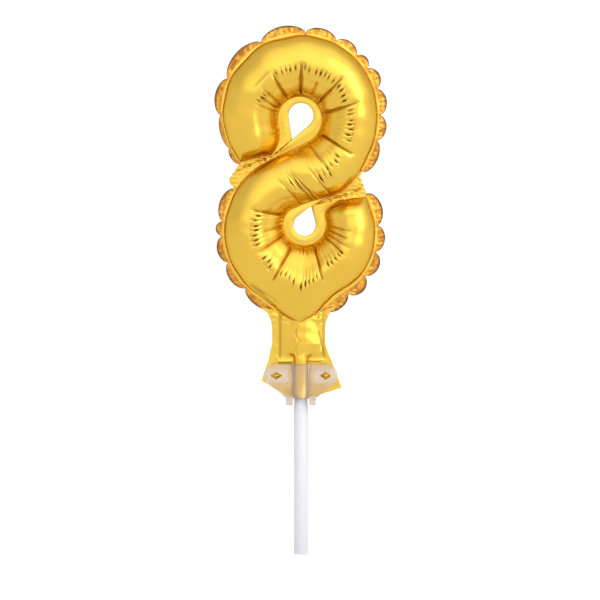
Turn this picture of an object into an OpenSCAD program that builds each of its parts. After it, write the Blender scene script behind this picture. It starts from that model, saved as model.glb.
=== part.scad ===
// Small air-filled foil balloon in the shape of a figure eight, on a drinking-straw stick.
// Frame: origin at the centre of the stick's lower end, +Z up the stick, front of the figure towards -Y.
// A sealed rim lies in the XZ plane, a domed panel of film stands on each side of it, and the flat neck
// below is held in a folding plastic clip, which also grips the stick.

/* [Figure] */
// Height of the middle of the figure above the stick's lower end
figure_z = 157.3; // [150:0.1:165]
// Depth of a domed panel for each millimetre of half its width
dome_ratio = 0.9; // [0.6:0.05:1]
// Thickness of a film panel
film_t = 0.2; // [0.15:0.05:0.5]
// Thickness of the sealed rim, two films together
rim_t = 0.3; // [0.2:0.05:0.6]
// Width of the sealed rim at the notches between its lobes
rim_w = 0.4; // [0.2:0.1:1]
// How far the panels hang below the lower loop, over the neck
chin_drop = 5.5; // [0:0.5:8]

/* [Neck] */
// Half the width of the neck below the figure
neck_half_w = 11; // [9:0.5:13]
// How far the neck sits to the left of the stick
neck_shift = 1; // [0:0.5:2]
// Thickness of one neck film
neck_film_t = 0.18; // [0.1:0.02:0.2]
// Half the width of the valve inside the neck
valve_half_w = 7.6; // [6:0.1:7.8]

/* [Clip] */
// Distance of each window from the middle of the clip
window_x = 10.2; // [9.5:0.1:11]
// Height of the windows above the stick's lower end
window_z = 74.8; // [74:0.1:76]
// Radius of the rounded lobe round each window
lobe_r = 5.0; // [4.6:0.1:5.4]
// Wall of a clip leaf
leaf_t = 1.1; // [0.8:0.1:1.4]
// Radius of the beads at the ends of the hinge straps
bead_r = 1.2; // [1:0.1:1.3]

/* [Stick] */
// Outer radius of the stick where it shows
stick_r = 3.0; // [2.6:0.05:3.1]
// Inner radius of the stick
stick_bore_r = 2.45; // [2:0.05:2.5]
// Height at which the stick narrows, where the clip grips it
stick_step_z = 62.2; // [60:0.1:62.4]
// Length of the stick
stick_len = 82; // [80:0.5:84]

/* [Hidden] */
$fn = 64;
gold = "gold";
clear_plastic = [0.93, 0.93, 0.95, 0.6];
eps = 0.01;

// Levels up the neck
clip_bottom_z = 65.4;
clip_top_z = 79.6;
neck_top_z = 102;
valve_top_z = 86;

// Layers across the clip, outwards from the middle of the neck
valve_film_t = 0.12;
foil_face = valve_film_t + neck_film_t;
leaf_face = foil_face + 0.12;
rib_t = leaf_t + 0.6;
grip_r = stick_r - 0.25;
sleeve_r = grip_r + 0.07;
channel_r = sleeve_r + foil_face + 0.13;
strap_y = 4.3;
strap_z = 64.0;
strap_x = [3.4, 6.2];
foot_reach = 0.8 * bead_r;

// ---- outline of the figure, in its own frame: x to the right, z up, from the figure's middle ----
// A loop is [eye x, eye z, eye seam radius, the same where the stroke leaves it, outer x, outer z,
// outer radius, the same where the stroke leaves it, outer angle of the leg's tip,
// leg tip from the eye x, z, handle of the leg's inner edge x, z].
upper_loop = [-0.5, 24.3, 9.0, 9.8, -0.4, 27.0, 33.0, 38.0, 220, -11.5, -14.9, 3.5, 4.0];
lower_loop = [-1.5, 19.3, 8.8, 7.6, 0.5, 22.8, 32.3, 33.2, 208, -14.3, -10.0, 3.5, 2.5];
leg_angle = 195;
stroke_angle = -62;
growth_angle = 10;
leg_steps = 6;
ring_steps = 38;
stroke_steps = 8;
dome_steps = 8;
stroke_dir = [cos(stroke_angle - 90), sin(stroke_angle - 90)];

function spot(c, r, a) = [c[0] + r * cos(a), c[1] + r * sin(a)];
function bezier(p, s) = pow(1 - s, 3) * p[0] + 3 * s * pow(1 - s, 2) * p[1]
    + 3 * s * s * (1 - s) * p[2] + pow(s, 3) * p[3];
function growth(a) = pow(max(0, growth_angle - a) / (growth_angle - stroke_angle), 2);
function chin(a, drop) = drop * exp(-pow((a - 90) / 17, 2));
function eye_spot(l, a) = spot([l[0], l[1]], l[2] + (l[3] - l[2]) * growth(a), a);
function outer_spot(l, a, drop) =
    spot([l[4], l[5]], l[6] + (l[7] - l[6]) * growth(a) + chin(a, drop), a);

// The leg's inner edge, from its tip up to the eye
function leg_edge(l) = let (
    tip = [l[0] + l[9], l[1] + l[10]],
    top = eye_spot(l, leg_angle))
    [tip, tip + [l[11], l[12]], top - 4.5 * [cos(leg_angle - 90), sin(leg_angle - 90)], top];

// Pairs of facing edge points [eye side, outer side] from the leg's tip, round the loop, to the stroke
function loop_pairs(l, drop) = concat(
    [for (i = [0:leg_steps - 1]) let (s = i / leg_steps)
        [bezier(leg_edge(l), s), outer_spot(l, l[8] + (leg_angle - l[8]) * s, drop)]],
    [for (i = [0:ring_steps]) let (a = leg_angle + (stroke_angle - leg_angle) * i / ring_steps)
        [eye_spot(l, a), outer_spot(l, a, drop)]]);

function stroke_edge(from, to) = let (reach = norm(to - from) / 3)
    [from, from + reach * stroke_dir, to - reach * stroke_dir, to];

// The whole stroke of the figure as pairs of facing edge points
upper_pairs = loop_pairs(upper_loop, 0);
lower_pairs = loop_pairs(lower_loop, chin_drop);
last = len(upper_pairs) - 1;
right_edge = stroke_edge(upper_pairs[last][0], -lower_pairs[last][1]);
left_edge = stroke_edge(upper_pairs[last][1], -lower_pairs[last][0]);
pairs = concat(
    upper_pairs,
    [for (i = [1:stroke_steps - 1])
        [bezier(right_edge, i / stroke_steps), bezier(left_edge, i / stroke_steps)]],
    [for (i = [last:-1:0]) [-lower_pairs[i][1], -lower_pairs[i][0]]]);
n = len(pairs);

// How far the dome has risen at a station: zero at the tips of both legs
tip_steps = 7;
function rise(i) = let (s = min(1, min(i, n - 1 - i) / tip_steps)) sqrt(1 - pow(1 - s, 2));
function half_chord(i) = norm(pairs[i][1] - pairs[i][0]) / 2;
function depth(i) = max(3 * film_t, dome_ratio * min(half_chord(i), 12.6) * rise(i));

// One layer of the dome at a station; inset is how far it lies inside the outer surface
function layer(i, inset, side) = let (
    middle = (pairs[i][0] + pairs[i][1]) / 2,
    across = (pairs[i][1] - pairs[i][0]) / (2 * half_chord(i)),
    a = half_chord(i) - inset,
    h = depth(i) - inset)
    [for (k = [0:dome_steps]) let (
        f = 180 * k / dome_steps,
        p = middle - a * cos(f) * across)
        [p[0], side * (rim_t / 2 + h * sin(f)), p[1] + figure_z]];

function reversed(list) = [for (i = [len(list) - 1:-1:0]) list[i]];
ring_n = 2 * (dome_steps + 1);
function side_faces(flip) = [for (i = [0:n - 2]) for (k = [0:ring_n - 1]) let (
    a = i * ring_n + k,
    b = i * ring_n + (k + 1) % ring_n)
    for (face = [[a, b, b + ring_n], [a, b + ring_n, a + ring_n]]) flip ? reversed(face) : face];
function end_face(i, flip) = let (face = [for (k = [0:ring_n - 1]) i * ring_n + k])
    flip ? reversed(face) : face;

// A domed panel standing on the rim: side is -1 for the front, 1 for the back
module foil_panel(side) {
    color(gold)
    polyhedron(
        points = [for (i = [0:n - 1]) each concat(layer(i, 0, side), reversed(layer(i, film_t, side)))],
        faces = concat(side_faces(side > 0), [end_face(0, side < 0), end_face(n - 1, side > 0)]));
}

// ---- sealed rim ----
// Notches between the rim's lobes: [angle, how far the next lobe bulges], counter-clockwise in a loop's frame
upper_lobes = [[-44, 2.6], [-20, 2.6], [-2, 2.8], [17, 3.0], [33, 2.2], [45, 2.4], [63, 2.4], [86, 2.9],
               [119, 2.6], [155, 2.5], [182, 0.8], [207, 1.0], [221, 0]];
lower_lobes = [[-34, 2.6], [-8, 2.2], [3, 2.5], [23, 2.5], [46, 2.7], [71, 0.6], [109, 2.9], [128, 3.4],
               [146, 3.4], [165, 2.8], [185, 3.0], [210, 0]];
left_waist = [[-25.9, 3.9], [-28.4, 1.2], [-29.7, -0.8], [-29.5, -2.6]];
right_waist = [[26.6, -5.6], [25.7, -2.9], [24.6, 0.4]];
lobe_steps = 7;

function lobe_spot(l, row, next, s, w, drop) = let (a = row[0] + (next[0] - row[0]) * s)
    outer_spot(l, a, drop) + (w + row[1] * pow(sin(180 * s), 0.5)) * [cos(a), sin(a)];
function lobe_edge(l, lobes, w, drop) = [
    for (j = [0:len(lobes) - 2]) for (i = [0:lobe_steps - 1])
        lobe_spot(l, lobes[j], lobes[j + 1], i / lobe_steps, w, drop)];

// Scalloped outline of the whole figure, w outside the domed panels at the notches
module figure_outline(w) {
    polygon(concat(
        lobe_edge(upper_loop, upper_lobes, w, 0), left_waist,
        [for (p = lobe_edge(lower_loop, lower_lobes, w, chin_drop)) -p], right_waist));
}

// Footprint of the stroke, shrunk by the wall of a panel
module stroke_outline() {
    polygon(concat(
        [for (p = pairs) p[0] + film_t * (p[1] - p[0]) / norm(p[1] - p[0])],
        reversed([for (p = pairs) p[1] - film_t * (p[1] - p[0]) / norm(p[1] - p[0])])));
}

// Tear-shaped opening: round, with a point at tip, measured from its centre
module eye_opening(c, r, tip) {
    reach = norm(tip);
    touch = acos(r / reach);
    aim = atan2(tip[1], tip[0]);
    translate(c) {
        circle(r = r);
        polygon([[0, 0], [r * cos(aim - touch), r * sin(aim - touch)], tip,
                 [r * cos(aim + touch), r * sin(aim + touch)]]);
    }
}

module rim_outline() {
    difference() {
        figure_outline(rim_w);
        stroke_outline();
        eye_opening([0, 25.6], 5.2, [-3.7, -10]);
        eye_opening([1.5, -19.8], 4.6, [2.7, 8]);
        // Way in for the air, up from the neck
        translate([-valve_half_w - 0.4, -66]) square([2 * valve_half_w + 0.8, 12]);
    }
}

module sealed_rim() {
    color(gold)
    slab(-rim_t / 2, rim_t / 2)
    translate([0, figure_z]) rim_outline();
}

// ---- neck and valve ----
// Turns a flat outline in x and z into a plate between y0 and y1
module slab(y0, y1) {
    translate([0, y1, 0]) rotate([90, 0, 0]) linear_extrude(y1 - y0) children();
}

// Half tube round the stick with flat wings on each side, one film thick; side is -1 for the front
module wrapped_film(half_w, r, face, t, z0, z1, side) {
    translate([0, 0, z0]) linear_extrude(z1 - z0)
    intersection() {
        difference() {
            union() {
                circle(r = r + t);
                translate([-half_w, -face]) square([2 * half_w, 2 * face]);
            }
            circle(r = r);
            translate([-half_w - 1, -face + t]) square([2 * half_w + 2, 2 * (face - t)]);
        }
        translate([-half_w, side < 0 ? -2 * r : 0]) square([2 * half_w, 2 * r]);
    }
}

// Flat cut of the neck: it opens out under the figure and into two flared corners, and its lower edge
// runs in to the stick
module neck_outline() {
    left = -neck_shift - neck_half_w;
    right = neck_half_w - neck_shift;
    difference() {
        polygon([[left - 2, neck_top_z], [left - 0.4, 97.8], [left, 94], [left, 88], [left - 0.9, 84.7],
                 [left - 1.4, 81.3], [-16.4, 72.7], [-5, clip_bottom_z + 0.4], [5, clip_bottom_z + 0.4],
                 [16.9, 69.8], [right + 2.5, 81.3], [right + 1.2, 84.7], [right, 88], [right, 97],
                 [right + 2, neck_top_z]]);
        translate([0, figure_z]) figure_outline(rim_w + 0.3);
    }
}

module diamond(rx, rz) {
    polygon([[-rx, 0], [0, -rz], [rx, 0], [0, rz]]);
}

// Pyramid with a flat tip, from the plane y0 forward to y1, at each window
module window_pyramids(base, tip, y0, y1) {
    for (s = [-1, 1])
        hull() {
            slab(y0 - eps, y0) translate([s * window_x, window_z]) diamond(base[0], base[1]);
            slab(y1, y1 + eps) translate([s * window_x, window_z]) diamond(tip[0], tip[1]);
        }
}

module neck_foil(side) {
    color(gold)
    difference() {
        union() {
            intersection() {
                wrapped_film(18, sleeve_r + valve_film_t, foil_face, neck_film_t,
                             clip_bottom_z, neck_top_z, side);
                slab(-20, 20) neck_outline();
            }
            // Bumps pressed into the film by the clip's pegs
            if (side < 0) window_pyramids([2.0, 1.25], [0.8, 0.5], -foil_face + 0.05, -1.35);
        }
        if (side < 0) window_pyramids([1.8, 1.1], [0.6, 0.35], -valve_film_t + eps, -1.15);
        if (side > 0) window_pyramids([1.8, 1.1], [1.6, 0.95], foil_face + eps, 0);
    }
}

module valve_film(side) {
    color([0.95, 0.95, 0.97, 0.5])
    wrapped_film(valve_half_w, sleeve_r, valve_film_t, valve_film_t - eps, clip_bottom_z + 0.6, valve_top_z, side);
}

// ---- clip ----
module leaf_outline() {
    for (s = [-1, 1]) translate([s * window_x, window_z]) circle(r = lobe_r);
    polygon([[-window_x, clip_top_z], [window_x, clip_top_z], [13.6, 71.2], [strap_x[1], clip_bottom_z],
             [-strap_x[1], clip_bottom_z], [-13.6, 71.2]]);
}

// One leaf of the clip, drawn on the front side; gap is the clearance round the hinge beads
module leaf(gap) {
    difference() {
        union() {
            slab(-leaf_face - leaf_t, -leaf_face) leaf_outline();
            // Stiffening rib across the leaf and a raised rim round each window
            slab(-leaf_face - rib_t, -leaf_face) {
                translate([-window_x, window_z - 3.1]) square([2 * window_x, 5.2]);
                for (s = [-1, 1]) translate([s * window_x, window_z]) diamond(4.2, 3.2);
            }
            // Half tube over the stick
            intersection() {
                translate([0, 0, clip_bottom_z]) cylinder(r = channel_r + 0.9, h = clip_top_z - clip_bottom_z);
                translate([-10, -10, 0]) cube([20, 10 - leaf_face, 100]);
            }
            // Feet that reach down to the hinge straps
            for (s = [-1, 1])
                translate([s > 0 ? strap_x[0] : -strap_x[1], -strap_y - foot_reach, strap_z + 0.3])
                cube([strap_x[1] - strap_x[0], strap_y + foot_reach - leaf_face, 1.9]);
        }
        translate([0, 0, clip_bottom_z - 1]) cylinder(r = channel_r, h = clip_top_z - clip_bottom_z + 2);
        for (s = [-1, 1])
            translate([s * (strap_x[0] + strap_x[1]) / 2, -strap_y, strap_z]) rotate([0, 90, 0])
            cylinder(r = bead_r + gap, h = 4, center = true);
    }
}

module clip_front_leaf() {
    color(clear_plastic)
    difference() {
        leaf(0.05);
        slab(-5, 0) for (s = [-1, 1]) translate([s * window_x, window_z]) diamond(2.6, 1.75);
    }
}

module clip_rear_leaf() {
    color(clear_plastic) {
        mirror([0, 1, 0]) leaf(0);
        // Pegs that press the neck into the front leaf's windows
        window_pyramids([1.7, 1.0], [0.5, 0.3], leaf_face + 0.1, -1.05);
    }
}

// Strap under the stick from leaf to leaf, with a bead at each end; the leaves fold about the beads
module hinge_strap(s) {
    color(clear_plastic)
    translate([s > 0 ? strap_x[0] : -strap_x[1], 0, 0]) {
        for (y = [-strap_y, strap_y])
            translate([0, y, strap_z]) rotate([0, 90, 0]) cylinder(r = bead_r, h = strap_x[1] - strap_x[0]);
        translate([0, -strap_y, strap_z - bead_r + 0.1]) cube([strap_x[1] - strap_x[0], 2 * strap_y, 0.7]);
    }
}

// ---- stick ----
module straw_stick() {
    color([0.95, 0.95, 0.97, 0.8])
    difference() {
        union() {
            cylinder(r = stick_r, h = stick_step_z);
            cylinder(r = grip_r, h = stick_len);
        }
        translate([0, 0, -1]) cylinder(r = stick_bore_r, h = stick_len + 2);
    }
}

straw_stick();
clip_rear_leaf();
clip_front_leaf();
hinge_strap(-1);  // hinge_strap_left
hinge_strap(1);  // hinge_strap_right
foil_panel(-1);  // front_foil_panel
foil_panel(1);  // back_foil_panel
sealed_rim();
neck_foil(-1);  // neck_front_foil
neck_foil(1);  // neck_back_foil
valve_film(-1);  // valve_front_film
valve_film(1);  // valve_back_film
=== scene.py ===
import math

import bmesh
import bpy
import numpy as np
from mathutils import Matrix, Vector


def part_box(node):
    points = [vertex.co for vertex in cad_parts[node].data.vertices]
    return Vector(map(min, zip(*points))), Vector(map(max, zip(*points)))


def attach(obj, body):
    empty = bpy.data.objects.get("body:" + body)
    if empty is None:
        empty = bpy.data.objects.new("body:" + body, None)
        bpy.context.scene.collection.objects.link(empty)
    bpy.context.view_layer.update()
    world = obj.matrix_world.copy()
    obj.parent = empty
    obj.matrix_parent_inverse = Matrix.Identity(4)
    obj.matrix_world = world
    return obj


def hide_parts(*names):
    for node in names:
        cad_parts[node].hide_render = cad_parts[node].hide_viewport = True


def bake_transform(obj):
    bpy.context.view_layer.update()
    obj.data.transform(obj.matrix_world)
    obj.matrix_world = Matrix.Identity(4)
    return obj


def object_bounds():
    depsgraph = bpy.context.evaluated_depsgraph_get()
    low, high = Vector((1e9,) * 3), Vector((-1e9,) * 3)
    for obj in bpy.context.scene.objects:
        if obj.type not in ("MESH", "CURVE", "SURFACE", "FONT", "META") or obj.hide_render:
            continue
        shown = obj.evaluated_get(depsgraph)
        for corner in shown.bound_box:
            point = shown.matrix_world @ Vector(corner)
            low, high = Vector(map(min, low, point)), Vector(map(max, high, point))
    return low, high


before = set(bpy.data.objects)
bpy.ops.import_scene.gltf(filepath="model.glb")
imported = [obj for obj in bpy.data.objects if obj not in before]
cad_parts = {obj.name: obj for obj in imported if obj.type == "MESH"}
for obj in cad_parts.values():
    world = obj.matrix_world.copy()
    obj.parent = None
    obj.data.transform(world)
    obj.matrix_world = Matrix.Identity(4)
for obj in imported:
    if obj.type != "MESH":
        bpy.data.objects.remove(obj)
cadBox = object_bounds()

mm = 0.001  # pieces are worked out in millimetres and stored in metres


def linearColour(hexCode):
    # sRGB hex to linear RGBA: each channel c becomes ((c + 0.055) / 1.055) ^ 2.4, or c / 12.92 when dark
    channels = [int(hexCode[i:i + 2], 16) / 255 for i in (1, 3, 5)]
    return [c / 12.92 if c <= 0.04045 else ((c + 0.055) / 1.055) ** 2.4 for c in channels] + [1.0]


def addNode(tree, kind, settings=None, links=None):
    # Adds one shader node, sets its properties and sockets, and joins its inputs to other nodes' outputs
    node = tree.nodes.new(kind)
    for name, value in (settings or {}).items():
        if isinstance(name, int) or name in node.inputs:
            node.inputs[name].default_value = value
        else:
            setattr(node, name, value)
    for name, source in (links or {}).items():
        tree.links.new(node.inputs[name], source)
    return node


def newMaterial(name):
    # An empty node material
    material = bpy.data.materials.new(name)
    material.use_nodes = True
    tree = material.node_tree
    tree.nodes.clear()
    return material, tree


def smoothStep(x, low, high):
    # 0 below low, 1 above high, 3t^2 - 2t^3 between
    t = np.clip((x - low) / (high - low), 0, 1)
    return t * t * (3 - 2 * t)


def valley(distance, width):
    # A sharp V line: 1 on the line, falling off as exp(-|d| / w)
    return np.exp(-np.abs(distance) / width)


def bump(distance, width):
    # A soft bell: exp(-(d / w)^2)
    return np.exp(-(distance / width) ** 2)


def crumple(x, z, pitch, seed):
    # Random crumples: the sum of twelve sine waves in random directions, near one wavelength, about -1 to 1
    rng = np.random.default_rng(seed)
    total = 0
    for turn, stretch, phase in rng.uniform((0, 0.6, 0), (np.pi, 1.7, 2 * np.pi), (12, 3)):
        total = total + np.sin(2 * np.pi * stretch / pitch * (x * np.cos(turn) + z * np.sin(turn)) + phase)
    return total / 3.5


def resample(curve, count):
    # The same curve at count points, evenly spaced along its length
    along = np.concatenate([[0], np.cumsum(np.linalg.norm(np.diff(curve, axis=0), axis=1))])
    at = np.linspace(0, along[-1], count)
    return np.stack([np.interp(at, along, curve[:, k]) for k in range(curve.shape[1])], axis=1)


def gridNormals(points):
    # Unit normals of an (m, n, 3) grid: the cross product of its two central differences
    normals = np.cross(np.gradient(points, axis=0), np.gradient(points, axis=1))
    return normals / np.maximum(np.linalg.norm(normals, axis=2, keepdims=True), 1e-9)


def loft(name, rings, body, replaced, material, attributes=None, capped=True):
    # A closed skin through m rings of n points: quads between neighbouring rings, and either one polygon
    # over each end or, uncapped, quads from the last ring back to the first
    m, n, _ = rings.shape
    index = np.arange(m * n).reshape(m, n)
    following = np.roll(index, -1, axis=0)
    lower, upper = (index[:-1], following[:-1]) if capped else (index, following)
    quads = np.stack([lower, np.roll(lower, -1, axis=1), np.roll(upper, -1, axis=1), upper], axis=2)
    quads = quads.reshape(-1, 4)
    # faces point outwards: a . (b x c) + a . (c x d), summed over the quads, is six times the volume
    a, b, c, d = (rings.reshape(-1, 3)[quads[:, k]] for k in range(4))
    if np.sum(a * np.cross(b, c) + a * np.cross(c, d)) < 0:
        index, quads = index[:, ::-1], quads[:, ::-1]
    corners = quads.ravel()
    starts = np.arange(len(quads)) * 4
    if capped:
        corners = np.concatenate([corners, index[0][::-1], index[-1]])
        starts = np.concatenate([starts, [len(quads) * 4, len(quads) * 4 + n]])
    mesh = bpy.data.meshes.new(name)
    mesh.vertices.add(m * n)
    mesh.vertices.foreach_set("co", (rings * mm).astype(np.float32).ravel())
    mesh.loops.add(len(corners))
    mesh.loops.foreach_set("vertex_index", corners.astype(np.int32))
    mesh.polygons.add(len(starts))
    mesh.polygons.foreach_set("loop_start", starts.astype(np.int32))
    mesh.update(calc_edges=True)
    mesh.validate()
    mesh.polygons.foreach_set("use_smooth", np.ones(len(mesh.polygons), bool))
    for key, values in (attributes or {}).items():
        attribute = mesh.attributes.new(key, "FLOAT", "POINT")
        attribute.data.foreach_set("value", values.astype(np.float32).ravel())
    mesh.materials.append(material)
    piece = bpy.data.objects.new(name, mesh)
    bpy.context.scene.collection.objects.link(piece)
    if body:
        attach(piece, body)
    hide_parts(*replaced)
    return piece


def goldFilm():
    # Polyester film, vacuum-metallised and lacquered gold: a soft mirror, with painted shade laid along its
    # sharp folds
    look = {"gold": "#dfb844", "deepGold": "#d8ae3a", "fold": "#64440f", "edgeTint": "#e0b04a",
            "roughness": 0.24, "ripplePitch": 5.0, "patchPitch": 22.0}
    material, tree = newMaterial("metallisedGoldFilm")
    place = addNode(tree, "ShaderNodeTexCoord")
    patch = addNode(tree, "ShaderNodeTexNoise",
                    {"Scale": 1 / (look["patchPitch"] * mm), "Detail": 3.0, "Roughness": 0.5},
                    {"Vector": place.outputs["Object"]})
    tint = addNode(tree, "ShaderNodeMix",
                   {"data_type": "RGBA", 6: linearColour(look["gold"]), 7: linearColour(look["deepGold"])},
                   {0: patch.outputs["Fac"]})
    # painted shade: a dark brown mixed into the gold by the fold attribute, where creases, pits and grooves
    # lie deep
    fold = addNode(tree, "ShaderNodeAttribute", {"attribute_name": "fold"})
    foldShadeMix = addNode(tree, "ShaderNodeMix", {"data_type": "RGBA", 7: linearColour(look["fold"])},
                     {0: fold.outputs["Fac"], 6: tint.outputs[2]})
    ripple = addNode(tree, "ShaderNodeTexNoise", {"Scale": 1 / (look["ripplePitch"] * mm), "Detail": 2.0},
                     {"Vector": place.outputs["Object"]})
    relief = addNode(tree, "ShaderNodeBump", {"Strength": 0.12, "Distance": 0.25 * mm},
                     {"Height": ripple.outputs["Fac"]})
    shader = addNode(tree, "ShaderNodeBsdfPrincipled",
                     {"Metallic": 1.0, "Roughness": look["roughness"], "Coat Weight": 0.3,
                      "Coat Roughness": 0.2, "Specular Tint": linearColour(look["edgeTint"])},
                     {"Base Color": foldShadeMix.outputs[2], "Normal": relief.outputs["Normal"]})
    addNode(tree, "ShaderNodeOutputMaterial", {}, {"Surface": shader.outputs["BSDF"]})
    return material


def weldedFilm():
    # The two films heat-welded flat: duller and more amber than the single film, with a painted highlight
    # over the seam next to the dome, round the eyes and in the slits, and painted shade towards the cut and
    # in the notches between lobes
    look = {"amber": "#b87420", "paleAmber": "#dc9f3a", "lit": "#e2bc45", "cut": "#45280c",
            "roughness": 0.32, "edgeTint": "#d09a3c", "mottlePitch": 2.4, "grainPitch": 1.6}
    material, tree = newMaterial("heatWeldedGoldFilm")
    place = addNode(tree, "ShaderNodeTexCoord")
    edge = addNode(tree, "ShaderNodeAttribute", {"attribute_name": "paintedEdgeShade"})
    flat = addNode(tree, "ShaderNodeAttribute", {"attribute_name": "inside"})
    mottle = addNode(tree, "ShaderNodeTexNoise", {"Scale": 1 / (look["mottlePitch"] * mm), "Detail": 3.0},
                     {"Vector": place.outputs["Object"]})
    spread = addNode(tree, "ShaderNodeMapRange", {"From Min": 0.38, "From Max": 0.62},
                     {"Value": mottle.outputs["Fac"]})
    amber = addNode(tree, "ShaderNodeMix",
                    {"data_type": "RGBA", 6: linearColour(look["amber"]),
                     7: linearColour(look["paleAmber"])},
                    {0: spread.outputs["Result"]})
    # painted highlight: the lit gold laid over the amber on the seam band next to the dome, round the eyes
    # and in the slits
    body = addNode(tree, "ShaderNodeMix", {"data_type": "RGBA", 7: linearColour(look["lit"])},
                   {0: flat.outputs["Fac"], 6: amber.outputs[2]})
    # painted shade: dark brown laid on towards the cut edge, in the notches between lobes and towards the
    # eye openings
    ramp = addNode(tree, "ShaderNodeMapRange", {"From Min": 0.72, "From Max": 0.98},
                   {"Value": edge.outputs["Fac"]})
    tint = addNode(tree, "ShaderNodeMix", {"data_type": "RGBA", 7: linearColour(look["cut"])},
                   {0: ramp.outputs["Result"], 6: body.outputs[2]})
    grain = addNode(tree, "ShaderNodeTexNoise", {"Scale": 1 / (look["grainPitch"] * mm), "Detail": 2.0},
                    {"Vector": place.outputs["Object"]})
    relief = addNode(tree, "ShaderNodeBump", {"Strength": 0.25, "Distance": 0.1 * mm},
                     {"Height": grain.outputs["Fac"]})
    shader = addNode(tree, "ShaderNodeBsdfPrincipled",
                     {"Metallic": 1.0, "Roughness": look["roughness"], "Coat Weight": 0.3,
                      "Coat Roughness": 0.25, "Specular Tint": linearColour(look["edgeTint"])},
                     {"Base Color": tint.outputs[2], "Normal": relief.outputs["Normal"]})
    addNode(tree, "ShaderNodeOutputMaterial", {}, {"Surface": shader.outputs["BSDF"]})
    return material


def mouldedClip():
    # Injection-moulded natural polypropylene: clear where it is thin and polished, milky where it is thick
    look = {"tint": "#fbf5ee", "roughness": 0.3, "ior": 1.49, "clear": 0.95, "milky": 0.74,
            "milkyFrom": 71.6, "milkyTo": 78.4, "fade": 2.0, "channelEdge": (3.0, 6.5), "cloudPitch": 3.0}
    material, tree = newMaterial("mouldedNaturalPolypropylene")
    place = addNode(tree, "ShaderNodeTexCoord")
    axes = addNode(tree, "ShaderNodeSeparateXYZ", {}, {"Vector": place.outputs["Object"]})
    aside = addNode(tree, "ShaderNodeMath", {"operation": "ABSOLUTE"}, {0: axes.outputs["X"]})
    # smooth ramps in millimetres: away from the channel, above the band's foot, below the band's top
    offChannel, aboveFoot, belowTop = (
        addNode(tree, "ShaderNodeMapRange",
                {"interpolation_type": "SMOOTHSTEP", "From Min": low * mm, "From Max": high * mm},
                {"Value": source})
        for source, low, high in (
            (aside.outputs["Value"], *look["channelEdge"]),
            (axes.outputs["Z"], look["milkyFrom"] - look["fade"], look["milkyFrom"] + look["fade"]),
            (axes.outputs["Z"], look["milkyTo"] + look["fade"], look["milkyTo"] - look["fade"])))
    band = addNode(tree, "ShaderNodeMath", {"operation": "MULTIPLY"},
                   {0: aboveFoot.outputs["Result"], 1: belowTop.outputs["Result"]})
    mask = addNode(tree, "ShaderNodeMath", {"operation": "MULTIPLY"},
                   {0: band.outputs["Value"], 1: offChannel.outputs["Result"]})
    cloud = addNode(tree, "ShaderNodeTexNoise", {"Scale": 1 / (look["cloudPitch"] * mm), "Detail": 3.0},
                    {"Vector": place.outputs["Object"]})
    clear = addNode(tree, "ShaderNodeMapRange", {"To Min": look["clear"], "To Max": look["milky"]},
                    {"Value": mask.outputs["Value"]})
    relief = addNode(tree, "ShaderNodeBump", {"Strength": 0.15, "Distance": 0.15 * mm},
                     {"Height": cloud.outputs["Fac"]})
    shader = addNode(tree, "ShaderNodeBsdfPrincipled",
                     {"Base Color": linearColour(look["tint"]), "Roughness": look["roughness"],
                      "IOR": look["ior"]},
                     {"Normal": relief.outputs["Normal"], "Transmission Weight": clear.outputs["Result"]})
    addNode(tree, "ShaderNodeOutputMaterial", {}, {"Surface": shader.outputs["BSDF"]})
    return material


def extrudedPlastic(name, colour, transmission, roughness):
    # Polypropylene or polyethylene drawn out of a die: smooth, with a faint wander in its wall
    material, tree = newMaterial(name)
    place = addNode(tree, "ShaderNodeTexCoord")
    cloud = addNode(tree, "ShaderNodeTexNoise", {"Scale": 1 / (4 * mm), "Detail": 3.0},
                    {"Vector": place.outputs["Object"]})
    relief = addNode(tree, "ShaderNodeBump", {"Strength": 0.1, "Distance": 0.1 * mm},
                     {"Height": cloud.outputs["Fac"]})
    shader = addNode(tree, "ShaderNodeBsdfPrincipled",
                     {"Base Color": linearColour(colour), "Roughness": roughness, "IOR": 1.49,
                      "Transmission Weight": transmission}, {"Normal": relief.outputs["Normal"]})
    addNode(tree, "ShaderNodeOutputMaterial", {}, {"Surface": shader.outputs["BSDF"]})
    return material


goldFilmLook = goldFilm()
weldedFilmLook = weldedFilm()
clipLook = mouldedClip()
strawLook = extrudedPlastic("extrudedWhitePolypropylene", "#d3d3da", 0.12, 0.3)
valveLook = extrudedPlastic("clearPolyethyleneFilm", "#fafafa", 0.9, 0.2)
print("materials made")


# The figure is one stroke bent into an S. Each loop is drawn in its own frame, round its eye, and the
# lower loop is the upper form turned half a turn. Angles are in degrees, lengths in millimetres.
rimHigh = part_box("sealed_rim")[1]
figure = {
    "topToMiddle": 62.8, "domeRatio": 0.9, "fullHalfWidth": 12.6, "rimHalf": 0.15,
    "legAngle": 195, "strokeAngle": -62, "growthAngle": 10, "tipLength": 5.5, "legPull": 4.5,
    "chinDrop": 7.8, "chinSpread": 17, "chinPoint": 10, "flatAngle": 121, "flatSpread": 17,
    "inset": 0.8, "sag": 0.45, "widestSag": 37,  # degrees: a longer lobe than this has no sag
    "legPoints": 160, "ringPoints": 900, "strokePoints": 240,
}
middleZ = rimHigh.z / mm - figure["topToMiddle"]
upperLoop = {
    "eye": (-0.5, 24.3), "eyeRadius": (9.0, 9.8), "outer": (-0.4, 27.0), "outerRadius": (33.0, 38.0),
    "tipAngle": 220, "legTip": (-11.5, -14.9), "legLean": (3.5, 4.0), "chin": 0, "flat": 0,
    # notches between the rim's lobes, and how far the lobe after each one bulges
    "notches": [-44, -20, -2, 17, 33, 45, 63, 86, 119, 155, 182, 207, 221],
    "bulges": [2.6, 2.6, 2.8, 3.0, 2.2, 2.4, 2.4, 2.9, 2.6, 2.5, 0.8, 1.0],
}
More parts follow.
